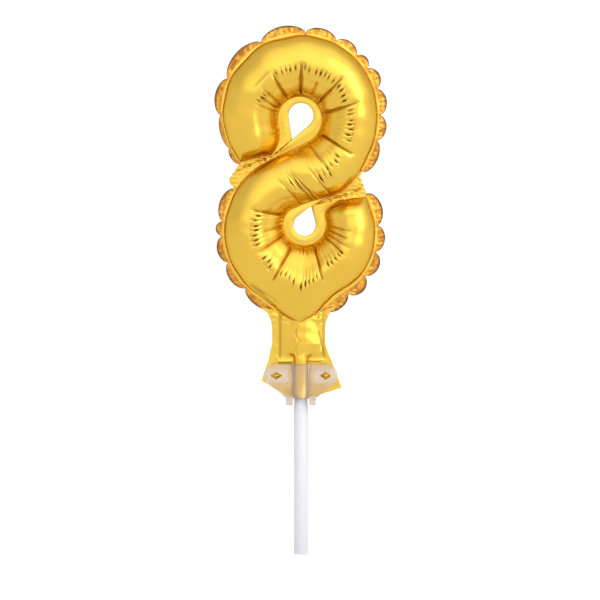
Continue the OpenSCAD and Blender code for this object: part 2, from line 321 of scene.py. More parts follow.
lowerLoop = {
    "eye": (-1.5, 19.3), "eyeRadius": (8.8, 7.6), "outer": (0.5, 22.8), "outerRadius": (32.3, 33.2),
    "tipAngle": 208, "legTip": (-14.3, -10.0), "legLean": (3.5, 2.5),
    "chin": figure["chinDrop"], "flat": 1.8,
    "notches": [-34, -8, 3, 23, 46, 71, 109, 128, 146, 165, 185, 210],
    "bulges": [2.6, 2.2, 2.5, 2.5, 2.7, 0.6, 2.9, 3.4, 3.4, 2.8, 3.0],
}


def polar(centre, radius, degrees):
    # centre + radius (cos a, sin a)
    a = np.radians(degrees)
    return np.stack([centre[0] + radius * np.cos(a), centre[1] + radius * np.sin(a)], axis=-1)


def strokeGrowth(degrees):
    # The radii change smoothly where the loop leaves for the stroke: ((10 - a) / 72)^2 below 10 degrees
    return (np.maximum(0, figure["growthAngle"] - degrees)
            / (figure["growthAngle"] - figure["strokeAngle"])) ** 2


def lobePhase(loop, degrees):
    # Where each angle lies between its two notches, from 0 to 1, with that lobe's bulge and its width
    notches = np.array(loop["notches"], float)
    lobe = np.clip(np.searchsorted(notches, degrees, side="right") - 1, 0, len(notches) - 2)
    width = (notches[1:] - notches[:-1])[lobe]
    return np.clip((degrees - notches[lobe]) / width, 0, 1), np.array(loop["bulges"])[lobe], width


def eyeSide(loop, degrees):
    # The loop's edge at its eye: a circle whose radius grows towards the stroke
    near, far = loop["eyeRadius"]
    return polar(loop["eye"], near + (far - near) * strokeGrowth(degrees), degrees)


def chinDrop(loop, degrees):
    # Half a soft bell, half a point: 0.5 exp(-(d / 17)^2) + 0.5 exp(-|d| / 10) of the chin's drop
    away = degrees - 90
    return loop["chin"] * (0.5 * bump(away, figure["chinSpread"]) + 0.5 * valley(away, figure["chinPoint"]))


def outerSide(loop, degrees):
    # Outer radius, plus the chin, minus the seam's inset and the sag sin(180 s)^2 between two notches
    near, far = loop["outerRadius"]
    phase, _, width = lobePhase(loop, degrees)
    sagitta = (near * (1 - np.cos(np.radians(width / 2))) * figure["sag"]
               * (np.abs(width) < figure["widestSag"]))
    radius = (near + (far - near) * strokeGrowth(degrees) - figure["inset"]
              - sagitta * np.sin(np.pi * phase) ** 2
              + chinDrop(loop, degrees)
              - loop["flat"] * bump(degrees - figure["flatAngle"], figure["flatSpread"]))
    return polar(loop["outer"], radius, degrees)


def bezier(p, count):
    # Cubic curve through p0 and p3, with p1 and p2 as handles
    s = np.linspace(0, 1, count)[:, None]
    p = [np.array(q, float) for q in p]
    return (1 - s) ** 3 * p[0] + 3 * s * (1 - s) ** 2 * p[1] + 3 * s * s * (1 - s) * p[2] + s ** 3 * p[3]


def loopEdges(loop):
    # Eye side and outer side of one loop, from its leg's tip to where the stroke starts
    top = eyeSide(loop, np.array([figure["legAngle"]]))[0]
    tip = np.add(loop["eye"], loop["legTip"])
    back = np.radians(figure["legAngle"] - 90)
    pull = figure["legPull"] * np.array([np.cos(back), np.sin(back)])
    leg = bezier([tip, tip + loop["legLean"], top - pull, top], figure["legPoints"])
    legAngles = np.linspace(loop["tipAngle"], figure["legAngle"], figure["legPoints"])
    ringAngles = np.linspace(figure["legAngle"], figure["strokeAngle"], figure["ringPoints"])[1:]
    angles = np.concatenate([legAngles, ringAngles])
    return np.concatenate([leg, eyeSide(loop, ringAngles)]), outerSide(loop, angles), angles


def strokeEdge(start, end):
    # One edge of the slanted middle: a cubic curve that leaves and meets the loops along their tangents
    away = np.radians(figure["strokeAngle"] - 90)
    pull = np.array([np.cos(away), np.sin(away)]) * np.linalg.norm(end - start) / 3
    return bezier([start, start + pull, end - pull, end], figure["strokePoints"])[1:-1]


upperEye, upperOuter, upperAngles = loopEdges(upperLoop)
lowerEye, lowerOuter, lowerAngles = loopEdges(lowerLoop)
firstEdge = np.concatenate([upperEye, strokeEdge(upperEye[-1], -lowerOuter[-1]), -lowerOuter[::-1]])
secondEdge = np.concatenate([upperOuter, strokeEdge(upperOuter[-1], -lowerEye[-1]), -lowerEye[::-1]])
midLine = (firstEdge + secondEdge) / 2
denseLength = np.concatenate([[0], np.cumsum(np.linalg.norm(np.diff(midLine, axis=0), axis=1))])
strokeLength = denseLength[-1]
upperEnd = denseLength[len(upperEye) - 1]
lowerStart = denseLength[-len(lowerEye)]


def lengthAt(loopName, degrees):
    # Distance along the stroke of an angle on a loop, or of a hundredth of the slanted middle
    if loopName == "slant":
        return upperEnd + np.asarray(degrees, float) / 100 * (lowerStart - upperEnd)
    if loopName == "upper":
        return np.interp(-np.asarray(degrees, float), -upperAngles, denseLength[:len(upperEye)])
    return np.interp(degrees, lowerAngles[::-1], denseLength[-len(lowerEye):])


print(f"stroke {strokeLength:.0f} mm long")

# Creases that run out from an eye: loop, angle, depth, width, and how far over the dome they reach
frontCreases = [
    ("upper", 88, 0.75, 0.55, 100), ("upper", 122, 0.6, 0.5, 94), ("upper", 142, 0.4, 0.5, 88),
    ("upper", 153, 0.35, 0.4, 80), ("upper", 163, 0.3, 0.4, 84), ("upper", 42, 0.7, 0.6, 108),
    ("upper", 13, 0.7, 0.5, 112), ("upper", -36, 0.85, 0.45, 118), ("upper", 64, 0.25, 0.4, 70),
    ("lower", -23, 0.7, 0.5, 104), ("lower", 27, 0.6, 0.5, 92), ("lower", 60, 0.75, 0.5, 112),
    ("lower", 114, 0.8, 0.55, 108), ("lower", 150, 0.45, 0.45, 88), ("lower", 159, 0.4, 0.4, 96),
    ("lower", 168, 0.45, 0.4, 84), ("lower", 178, 0.35, 0.4, 92), ("lower", 5, 0.35, 0.4, 70),
]
backCreases = [
    ("upper", 80, 0.7, 0.55, 110), ("upper", 112, 0.5, 0.5, 90), ("upper", 148, 0.6, 0.5, 100),
    ("upper", 170, 0.35, 0.4, 80), ("upper", 50, 0.6, 0.6, 100), ("upper", 20, 0.75, 0.5, 116),
    ("upper", -12, 0.5, 0.5, 92), ("upper", -42, 0.8, 0.45, 112),
    ("lower", -30, 0.7, 0.5, 110), ("lower", 12, 0.5, 0.5, 96), ("lower", 38, 0.7, 0.5, 108),
    ("lower", 72, 0.55, 0.5, 90), ("lower", 104, 0.8, 0.55, 112), ("lower", 136, 0.5, 0.45, 96),
    ("lower", 162, 0.5, 0.4, 100), ("lower", 182, 0.35, 0.4, 84),
]
# Rows of small puckers over the crown: loop, first and last angle, where over the dome they end, depth
frontPuckers = [
    ("upper", 118, 92, 92, 0.42), ("upper", 85, 74, 94, 0.3), ("upper", 71, 47, 92, 0.42),
    ("upper", 38, 20, 92, 0.38), ("upper", 8, -26, 97, 0.5), ("upper", 158, 146, 80, 0.2),
    ("lower", -17, 19, 92, 0.45), ("lower", 37, 54, 92, 0.4), ("lower", 64, 84, 90, 0.26),
    ("lower", 88, 110, 92, 0.36), ("lower", 126, 152, 88, 0.36),
    ("upper", -46, -66, 96, 0.36), ("slant", 2, 26, 104, 0.34), ("slant", 66, 84, 94, 0.4),
]
backPuckers = [
    ("upper", 140, 116, 90, 0.36), ("upper", 108, 84, 92, 0.4), ("upper", 76, 54, 92, 0.42),
    ("upper", 46, 24, 94, 0.38), ("upper", 16, -8, 95, 0.4), ("upper", 180, 156, 86, 0.2),
    ("lower", -26, 8, 92, 0.42), ("lower", 42, 68, 92, 0.4), ("lower", 76, 100, 93, 0.34),
    ("lower", 110, 132, 92, 0.4), ("lower", 140, 158, 88, 0.3),
    ("slant", 10, 34, 98, 0.36), ("slant", 58, 80, 90, 0.36),
]
# Creases across the slanted middle: part of the way along it, depth, width, and the edge it starts from
frontCrossings = [
    (0.0, 0.5, 0.4, 0), (0.3, 0.6, 0.5, 1), (0.62, 0.9, 0.5, 1), (0.7, 0.8, 0.4, 1), (0.92, 0.5, 0.5, 1),
]
backCrossings = [(0.05, 0.6, 0.4, 1), (0.24, 0.8, 0.5, 1), (0.5, 0.6, 0.5, 0), (0.74, 0.9, 0.4, 1)]
# Creases that follow the crown: loop, first and last angle, how far over the dome, depth, width in degrees
frontHoops = [
    ("upper", 148, 124, 98, 0.6, 1.5), ("upper", -6, -30, 99, 0.6, 2.0), ("upper", 64, 50, 92, 0.2, 2),
    ("lower", -14, 18, 95, 0.45, 2.0), ("lower", 40, 54, 94, 0.3, 2), ("upper", 114, 66, 16, 0.7, 5),
    ("lower", 48, 60, 148, 0.9, 5), ("lower", 52, 70, 158, 0.6, 2), ("lower", 58, 72, 140, 0.35, 2),
    ("lower", 116, 66, 14, 0.6, 5),
]
backHoops = [
    ("upper", 132, 108, 98, 0.5, 2.2), ("upper", 14, -10, 98, 0.5, 2.2), ("lower", -24, 6, 95, 0.45, 2.2),
]
panel = {
    "stations": 1300, "across": 56, "inner": 10, "wall": 0.25, "leastDepth": 0.5, "crowding": 0.2,
    "wave": 0.1, "gather": 0.3, "dart": 0.45, "dartFrom": (136, 150), "facet": 0.5, "facetSpan": 16,
    "cone": 0.45, "coneFades": (60, 94), "chinCone": 0.6, "chinWidth": 13, "chinConeFrom": (86, 120),
}
# A pucker: millimetres along the crown, degrees over the dome, depths as shares of its row's depth
pucker = {
    "pitch": 2.05, "shift": 0.35, "weakest": 0.35, "earlier": 4, "later": 3, "length": 52,
    "line": 0.35, "lineWidth": 0.45, "pit": 1.6, "pitWidth": 0.3, "pitLength": 6, "lip": 0.2,
}


def eyeAngle(s, f):
    # How far over the dome a point lies, in degrees from the seam at the eye; the eye changes sides
    # along the slanted middle of the figure
    share = 1 - smoothStep(s[:, None], upperEnd - 6, lowerStart + 6)
    phi = np.degrees(f)[None, :]
    return phi * share + (180 - phi) * (1 - share)


def panelGrid(side):
    # Base surface of a domed panel: m - a cos(f) e across and rim + h g(f) outwards, with f from 0 to 180
    # degrees; g is part ellipse, sin(f), and on the eye's side and at the chin part cone, 1 - |cos(f)|
    s = np.linspace(0, strokeLength, panel["stations"])
    first = np.stack([np.interp(s, denseLength, firstEdge[:, k]) for k in (0, 1)], axis=1)
    second = np.stack([np.interp(s, denseLength, secondEdge[:, k]) for k in (0, 1)], axis=1)
    chord = second - first
    half = np.linalg.norm(chord, axis=1) / 2
    end = np.clip(np.minimum(s, strokeLength - s) / figure["tipLength"], 0, 1)
    depth = figure["domeRatio"] * np.minimum(half, figure["fullHalfWidth"]) * np.sqrt(1 - (1 - end) ** 2)
    depth = np.maximum(depth, panel["leastDepth"])
    # points crowd towards the crown, where the puckers are
    t = np.linspace(-1, 1, panel["across"])
    f = np.pi / 2 * (1 + (1 - panel["crowding"]) * t + panel["crowding"] * t ** 3)
    x, z = (((first + second) / 2)[:, None, k] - np.cos(f) * chord[:, None, k] / 2 for k in (0, 1))
    fromEye = eyeAngle(s, f)
    cone = panel["cone"] * (1 - smoothStep(fromEye, *panel["coneFades"]))
    nearChin = bump(s[:, None] - lengthAt("lower", 90), panel["chinWidth"])
    cone = cone + panel["chinCone"] * nearChin * smoothStep(fromEye, *panel["chinConeFrom"])
    rise = (1 - cone) * np.sin(f) + cone * (1 - np.abs(np.cos(f)))
    y = side * (figure["rimHalf"] + depth[:, None] * rise)
    return s, f, np.stack([x, y, z + middleZ], axis=2)


def panelRelief(s, f, points, side, creases, puckers, crossings, hoops, seed):
    # Height added along the normal, and the painted shade laid on each fold: creases, puckers, gathers
    # round the eyes, darts at the notches and slow waves, each a sum of sharp lines exp(-|d| / w) and bells
    # exp(-(d / w)^2)
    rng = np.random.default_rng(seed)
    stretch = np.linalg.norm(np.gradient(points, s, axis=0), axis=2)
    phi = np.degrees(f)[None, :]
    station = s[:, None]
    fromEye = eyeAngle(s, f)
    onLoops = 1 - (smoothStep(station, upperEnd - 8, upperEnd + 4)
                   * (1 - smoothStep(station, lowerStart - 4, lowerStart + 8)))
    relief, shade = np.zeros(points.shape[:2]), np.zeros(points.shape[:2])
    for loopName, degrees, depth, width, reach in creases:
        distance = (station - lengthAt(loopName, degrees)) * stretch
        along = smoothStep(fromEye, 6, 30) * (1 - smoothStep(fromEye, reach - 8, reach + 2))
        relief -= depth * along * (1.25 * valley(distance, 0.8 * width) + 0.25 * bump(distance, 3 * width))
        # painted shade along the crease line
        shade = np.maximum(shade, min(1, 0.6 * depth) * along * bump(distance, 0.4))
    # flat facets between the creases: the surface lies deepest at the creases, as (2 t - 1)^2 of the gap
    lines = np.sort([lengthAt(loopName, degrees) for loopName, degrees, *_ in creases])
    gap = np.clip(np.searchsorted(lines, s) - 1, 0, len(lines) - 2)
    span = lines[gap + 1] - lines[gap]
    way = np.clip(2 * (s - lines[gap]) / span - 1, -1, 1)
    share = np.minimum(1, span / panel["facetSpan"]) ** 2 * onLoops[:, 0]
    relief -= (panel["facet"] * (share * way ** 2)[:, None] * smoothStep(fromEye, 4, 40)
               * (1 - smoothStep(fromEye, 80, 104)))
    for loopName, start, stop, reach, depth in puckers:
        low, high = sorted(lengthAt(loopName, np.array([start, stop])))
        for place in np.arange(low, high, pucker["pitch"]):
            place += rng.uniform(-pucker["shift"], pucker["shift"])
            strength = rng.uniform(pucker["weakest"], 1.0)
            ends = reach + rng.uniform(-pucker["earlier"], pucker["later"])
            distance = (station - place) * stretch
            along = (smoothStep(fromEye, ends - pucker["length"] * strength - 8, ends - 12)
                     * (1 - smoothStep(fromEye, ends - 3, ends + 3)))
            line = strength * along * valley(distance, pucker["lineWidth"])
            pit = bump(distance, pucker["pitWidth"]) * bump(fromEye - ends + 4, pucker["pitLength"])
            lip = strength * along * bump(distance - 0.5 * pucker["pitch"], 0.55)
            relief += depth * (pucker["lip"] * lip - pucker["line"] * line
                               - pucker["pit"] * (0.4 + 0.6 * strength) * pit)
            # painted shade in the pucker's pit
            pitShade = (0.5 + strength) * bump(distance, 0.36) * bump(fromEye - ends + 4, 5.5)
            shade = np.maximum(shade, pitShade)
    for part, depth, width, origin in crossings:
        distance = (station - (upperEnd + part * (lowerStart - upperEnd)) + 0.02 * (phi - 90)) * stretch
        over = phi if origin == 0 else 180 - phi
        along = smoothStep(over, 4, 20) * (1 - smoothStep(over, 70, 125))
        relief -= depth * along * (valley(distance, width) + 0.3 * bump(distance, 4 * width))
        # painted shade along the crossing crease
        shade = np.maximum(shade, 0.6 * depth * along * bump(distance, 0.42))
    # creases that follow the crown between two facets, with painted shade along them
    for loopName, start, stop, reach, depth, width in hoops:
        low, high = sorted(lengthAt(loopName, np.array([start, stop])))
        along = (smoothStep(station, low - 1.5, low + 1.5)
                 * (1 - smoothStep(station, high - 1.5, high + 1.5)))
        relief -= depth * along * valley(fromEye - reach, width)
        shade = np.maximum(shade, 0.8 * depth * along * bump(fromEye - reach, width))
    # gathers in the steep wall round each eye
    gatherPhase = station * 2.3 + 2.6 * np.sin(station * 0.31 + seed) + 1.4 * np.sin(station * 0.83)
    relief += (panel["gather"] * (np.cos(gatherPhase) - 0.5) * (0.6 + 0.4 * np.sin(station * 0.37 + seed))
               * smoothStep(fromEye, 4, 16) * (1 - smoothStep(fromEye, 24, 46)) * onLoops)
    # darts that run in from the notches
    for loopName, loop in (("upper", upperLoop), ("lower", lowerLoop)):
        for degrees in loop["notches"][:-1]:
            distance = (station - lengthAt(loopName, degrees)) * stretch
            along = smoothStep(fromEye, rng.uniform(*panel["dartFrom"]), 177)
            relief -= panel["dart"] * along * (valley(distance, 0.6) + 0.5 * bump(distance, 2.4))
    # slow waves, so that reflections wander
    relief += panel["wave"] * (np.sin(station / 7.3 + 2.1 * np.sin(f)[None, :] + seed)
                               + np.sin(station / 4.1 - 3.0 * np.cos(f)[None, :] + 2 * seed)
                               ) * np.sin(f)[None, :]
    fade = np.sin(np.clip(f, 0.02, np.pi - 0.02))[None, :] ** 0.25
    return relief * fade, np.clip(shade, 0, 1)


def domedPanel(name, node, side, creases, puckers, crossings, hoops, seed):
    # The film's outer skin p + r n, with r the relief and n the normal, and its lining one wall further in
    s, f, points = panelGrid(side)
    normals = gridNormals(points)
    normals *= np.sign(np.sum(normals[:, len(f) // 2, 1]) * side)
    relief, shade = panelRelief(s, f, points, side, creases, puckers, crossings, hoops, seed)
    skin = points + normals * relief[:, :, None]
    pick = np.linspace(0, len(f) - 1, panel["inner"]).round().astype(int)
    lining = (skin - panel["wall"] * normals)[:, pick]
    lining[:, :, 1] = side * np.maximum(side * lining[:, :, 1], figure["rimHalf"])
    rings = np.concatenate([skin, lining[:, ::-1]], axis=1)
    # painted shade on the outer skin, none on the lining, handed on as the fold attribute
    paintedFoldShade = np.concatenate([shade, np.zeros(lining.shape[:2])], axis=1)
    return loft(name, rings, "balloon", [node], goldFilmLook, {"fold": paintedFoldShade})


domedPanel("front_foil_panel_skin", "front_foil_panel", -1, frontCreases, frontPuckers, frontCrossings,
           frontHoops, 3)
domedPanel("back_foil_panel_skin", "back_foil_panel", 1, backCreases, backPuckers, backCrossings,
           backHoops, 11)
print("domed panels made")

# One flat ribbon runs the whole way round the stroke. Outside, it ends in the rim's lobes; in the two
# slits it ends on the line midway between the stroke's edges; round each eye it ends at the opening.
rim = {
    "tuck": 0.6, "half": 0.11, "rows": 14, "step": 0.36, "lobeStep": 0.359, "neckGap": 8.0,
    "notchWidth": -0.3, "bulgeMore": 0.7, "lean": (0.2, 0.7), "leansDrawn": 30, "seamShare": 0.16,
    "slitFold": 0.5, "roll": 0.3, "crumple": 0.2, "crumplePitch": 2.6,
    "arcPoints": 90, "eyePoints": 400, "capPoints": 60, "searchMargin": 200,
}
leftWaist = [(-25.9, 3.9), (-28.4, 1.2), (-29.7, -0.8), (-29.5, -2.6)]
rightWaist = [(26.6, -5.6), (25.7, -2.9), (24.6, 0.4)]
upperOpening = {"centre": (0, 25.6), "radius": 5.2, "tip": (-3.7, -10)}
lowerOpening = {"centre": (1.5, -19.8), "radius": 4.6, "tip": (2.7, 8)}


def lobeEdge(loop, degrees):
    # Outer radius + chin + notch width + (bulge + more) sin(180 s)^0.5, with s from 0 to 1 between notches
    near, far = loop["outerRadius"]
    phase, bulge, _ = lobePhase(loop, degrees)
    petal = np.sqrt(np.maximum(np.sin(np.pi * phase), 0))
    radius = (near + (far - near) * strokeGrowth(degrees)
              + loop["chin"] * bump(degrees - 90, figure["chinSpread"])
              + rim["notchWidth"] + (bulge + rim["bulgeMore"]) * petal)
    return polar(loop["outer"], radius, degrees)


def lobeCorner(loop, end, turn):
    # Where the loop's first or last lobe starts or stops
    return turn * lobeEdge(loop, np.array([loop["notches"][end]]))[0]


def openingEdge(opening, count):
    # Clockwise from the tip, along a tangent, round the circle and back along the other tangent
    centre, tip = np.array(opening["centre"]), np.array(opening["tip"])
    aim = np.degrees(np.arctan2(tip[1], tip[0]))
    touch = np.degrees(np.arccos(opening["radius"] / np.linalg.norm(tip)))
    arc = polar(centre, opening["radius"], np.linspace(aim - touch, aim + touch - 360, rim["arcPoints"]))
    return resample(np.concatenate([[centre + tip], arc, [centre + tip]]), count)


def nearest(edge, tips, search):
    # The places along an edge that lie nearest to the two ends of a leg's tip
    return [search.start + np.argmin(np.linalg.norm(edge[search] - tip, axis=1)) for tip in tips]


def rimRibbon():
    # Both edges of the ribbon, point by point in step, from the neck's right side round to its left side
    rng = np.random.default_rng(5)
    parts = []

    def add(boundary, target, kind, angles=None, loop=None):
        # one stretch of the ribbon, with as many points on one edge as on the other
        lengths = [np.linalg.norm(np.diff(curve, axis=0), axis=1).sum() for curve in (boundary, target)]
        count = max(4, int(max(lengths) / rim["step"]))
        if angles is None:
            parts.append((resample(boundary, count), resample(target, count), kind, np.zeros(count),
                          np.zeros(count)))
        else:
            phase, _, _ = lobePhase(loop, angles)
            lobe = np.searchsorted(loop["notches"], angles, side="right")
            leans = rng.uniform(*rim["lean"], rim["leansDrawn"])
            parts.append((boundary, target, kind, phase, leans[lobe]))

    def addLobes(loop, start, stop, turn):
        # the lobes between two angles; turn is 1, or -1 for the loop that is half a turn round
        length = np.radians(abs(stop - start)) * loop["outerRadius"][0]
        angles = np.linspace(start, stop, int(length / rim["lobeStep"]))
        onEdge = np.clip(angles, figure["strokeAngle"], loop["tipAngle"])
        add(turn * outerSide(loop, onEdge), turn * lobeEdge(loop, angles), "lobe", angles, loop)

    # left slit, between the upper leg's tip and the slanted stroke; right slit likewise, half a turn round
    diagonal = slice(len(upperEye) - rim["searchMargin"],
                     len(firstEdge) - len(lowerOuter) + rim["searchMargin"])
    leftNear, leftFar = nearest(firstEdge, (firstEdge[0], secondEdge[0]), diagonal)
    rightNear, rightFar = nearest(secondEdge, (secondEdge[-1], firstEdge[-1]), diagonal)
    count = rim["capPoints"]
    leftCap = resample(np.array([secondEdge[0], firstEdge[0]]), count)
    rightCap = resample(np.array([firstEdge[-1], secondEdge[-1]]), count)
    leftEdge = firstEdge[leftNear:leftFar + 1]
    rightEdge = secondEdge[rightFar:rightNear + 1][::-1]
    leftMiddle = np.concatenate([[leftWaist[1]], (leftCap + resample(leftEdge[::-1], count)) / 2,
                                 [np.add(upperOpening["centre"], upperOpening["tip"])]])
    rightMiddle = np.concatenate([[rightWaist[1]], (rightCap + resample(rightEdge[::-1], count)) / 2,
                                  [np.add(lowerOpening["centre"], lowerOpening["tip"])]])
    bellyGap = np.degrees(np.arcsin(rim["neckGap"] / lowerLoop["outerRadius"][0]))
    upperOuterEnd = len(upperOuter) - 1 - np.argmax(upperAngles[::-1] >= upperLoop["notches"][0])
    lowerOuterStart = (len(firstEdge) - len(lowerOuter)
                       + np.argmax(lowerAngles[::-1] >= lowerLoop["notches"][0]))

    addLobes(lowerLoop, 90 + bellyGap, lowerLoop["notches"][-1], -1)
    add(np.array([firstEdge[-1]] * 2),
        np.array([lobeCorner(lowerLoop, -1, -1), rightWaist[0], rightWaist[1]]), "slit")
    add(rightCap, rightMiddle, "slit")
    add(secondEdge[rightNear:][::-1], openingEdge(lowerOpening, rim["eyePoints"]), "eye")
    add(rightEdge, rightMiddle[::-1], "slit")
    add(secondEdge[upperOuterEnd:rightFar + 1][::-1],
        np.array([rightWaist[1], rightWaist[2], lobeCorner(upperLoop, 0, 1)]), "slit")
    addLobes(upperLoop, upperLoop["notches"][0], upperLoop["notches"][-1], 1)
    add(np.array([secondEdge[0]] * 2),
        np.array([lobeCorner(upperLoop, -1, 1), leftWaist[0], leftWaist[1]]), "slit")
    add(leftCap, leftMiddle, "slit")
    add(firstEdge[:leftNear + 1], openingEdge(upperOpening, rim["eyePoints"]), "eye")
    add(leftEdge, leftMiddle[::-1], "slit")
    add(firstEdge[leftFar:lowerOuterStart + 1],
        np.array([leftWaist[1], leftWaist[2], leftWaist[3], lobeCorner(lowerLoop, 0, -1)]), "slit")
    addLobes(lowerLoop, lowerLoop["notches"][0], 90 - bellyGap, -1)
    edge, target, phase, lean = (np.concatenate([part[k] for part in parts]) for k in (0, 1, 3, 4))
    kinds = np.concatenate([[part[2]] * len(part[0]) for part in parts])
    return edge, target, phase, lean, kinds


def sealedRim():
    # A flat ribbon e + r (t - e) between its edges, with r from 0 at the dome to 1 at the cut: each lobe
    # leans back and curls at its tip, the slits fold back, the rings round the eyes roll forward
    edge, target, phase, lean, kinds = rimRibbon()
    reach = target - edge
    width = np.linalg.norm(reach, axis=1)
    r = np.linspace(0, 1, rim["rows"]) ** 0.9
    outward = reach / np.maximum(width, 1e-6)[:, None]
    flat = edge[:, None] + reach[:, None] * r[None, :, None]
    flat = np.concatenate([(edge - rim["tuck"] * outward)[:, None], flat], axis=1)
    r = np.concatenate([[0], r])
    x, z = flat[:, :, 0], flat[:, :, 1]
    onLobe, onSlit, onEye = ((kinds == kind)[:, None] for kind in ("lobe", "slit", "eye"))
    grain = crumple(x, z, rim["crumplePitch"], 4)
    petal = np.sqrt(np.maximum(np.sin(np.pi * phase), 0))[:, None]
    y = onLobe * (lean[:, None] * width[:, None] * petal * (0.35 * r + 0.65 * r ** 2)
                  - 0.35 * petal * smoothStep(r, 0.8, 1)
                  + rim["crumple"] * grain * smoothStep(r, 0.12, 0.5) * petal)
    y = y + onSlit * (rim["slitFold"] * r ** 1.5 + rim["crumple"] * grain * r)
    y = y + onEye * smoothStep(r, 0.0, 0.5) * (0.1 * rim["crumple"] * grain
                                               - rim["roll"] * np.sin(np.pi * r))
    top = np.stack([x, y - rim["half"], z + middleZ], axis=2)
    under = np.stack([x, y + rim["half"], z + middleZ], axis=2)
    rings = np.concatenate([top, under[:, ::-1]], axis=1)
    # painted shade towards the cut, in the notches between lobes and at the eye openings; painted highlight
    # over the seam next to the dome, round the eyes and in the slits
    paintedEdgeShade = np.maximum(r, 1 - 2.2 * petal) * onLobe + 0.85 * r * onEye
    inside = onEye + 0.7 * onSlit + onLobe * (1 - smoothStep(r, rim["seamShare"], 1.6 * rim["seamShare"]))
    paintedEdgeShade, inside = (np.concatenate([values, values[:, ::-1]], axis=1) for values in (paintedEdgeShade, inside))
    return loft("sealed_rim_ribbon", rings, "balloon", ["sealed_rim"], weldedFilmLook,
                {"paintedEdgeShade": paintedEdgeShade, "inside": inside})


sealedRim()
print("sealed rim made")

neck = {
    "filmHalf": 0.07, "across": 150, "rows": 150, "wrapRadius": 3.02, "wingHeight": 0.2,
    "leastHeight": 0.09, "freeFrom": (81.2, 83.6),
    "pegAcross": 10.2, "pegHeight": 74.8, "pegHalf": (2.3, 1.5), "pegRise": 0.95,
    # the film's cut outline, (across, up): left and right edges upwards, foot and head from left to right
    "left": [(-16.4, 72.7), (-13.6, 80.6), (-13, 83.6), (-12, 88), (-12, 94), (-12.4, 97.8), (-14, 101),
             (-17, 103.5)],
    "right": [(16.9, 69.8), (12.9, 80.6), (11.4, 84), (10.1, 88), (10, 94), (10.3, 97), (12, 101),
              (15, 104)],
    "foot": [(-16.4, 72.7), (-5, 65.8), (5, 65.8), (16.9, 69.8)],
    "head": [(-17, 103.5), (-8, 101.4), (0, 99.5), (8, 101.4), (15, 104)],
}
# Height of the front film in front of the middle plane, at four levels up the neck: (across, height) of the
# same seven creases, which are the left seam's inner edge twice, ridge, second ridge, shoulder and the
# right seam's inner edge twice; the facets between them are flat
neckLevels = {
    82.5: [(-8.9, 0.1), (-4.2, 0.3), (-2.3, 2.5), (0.8, 3.0), (4.0, 0.4), (8.8, 0.3), (9.7, 0.1)],
    84.6: [(-8.8, 0.1), (-4.6, 1.6), (-2.6, 3.1), (1.2, 2.6), (5.6, 1.2), (8.8, 0.8), (9.7, 0.1)],
    88: [(-8.7, 0.1), (-7.8, 0.7), (-1.8, 3.3), (1.8, 2.9), (6.8, 1.4), (8.6, 0.7), (9.4, 0.1)],
    103: [(-8.8, 0.1), (-7.2, 0.5), (-0.4, 2.7), (2.4, 2.4), (4.2, 1.5), (8.2, 0.7), (9.6, 0.1)],
}


def neckFace(x, z, fullness):
    # Flat facets between creases that run up the neck: y = y0 + sum of (y[k+1] - y[k]) clip(t, 0, 1), with
    # t the way from crease k to crease k + 1; inside the clip, a half tube over the stick with flat wings
    levels = sorted(neckLevels)
    creases = np.array([neckLevels[level] for level in levels])
    place, rise = ([np.interp(z, levels, creases[:, k, axis]) for k in range(creases.shape[1])]
                   for axis in (0, 1))
    free = rise[0]
    for k in range(len(place) - 1):
        free = free + (rise[k + 1] - rise[k]) * np.clip((x - place[k]) / (place[k + 1] - place[k]), 0, 1)
    tube = np.sqrt(np.maximum(neck["wrapRadius"] ** 2 - x ** 2, 0))
    held = np.maximum(neck["wingHeight"], tube)
    share = smoothStep(z - 0.12 * np.abs(x - 0.5), *neck["freeFrom"])
    return held * (1 - share) + (neck["wingHeight"] + fullness * (free - neck["wingHeight"])) * share


def neckOutlinePatch():
    # Flat cut of the neck, a Coons patch: two ruled surfaces between its edges less the bilinear one
    u, v = np.linspace(0, 1, neck["across"]), np.linspace(0, 1, neck["rows"])
    left, right = (resample(np.array(neck[edge]), len(v)) for edge in ("left", "right"))
    foot, head = (resample(np.array(neck[edge]), len(u)) for edge in ("foot", "head"))
    u, v = u[None, :, None], v[:, None, None]
    corners = ((1 - u) * (1 - v) * foot[0] + u * (1 - v) * foot[-1]
               + (1 - u) * v * head[0] + u * v * head[-1])
    return (1 - v) * foot[None] + v * head[None] + (1 - u) * left[:, None] + u * right[:, None] - corners


def filmRings(x, z, height, half, side):
    # A film of thickness 2 t lying at h(x, z) from the middle plane: y = h + t on top and h - t beneath
    top, under = (np.stack([x, side * (height + away), z], axis=2) for away in (half, -half))
    return np.concatenate([top, under[:, ::-1]], axis=1)


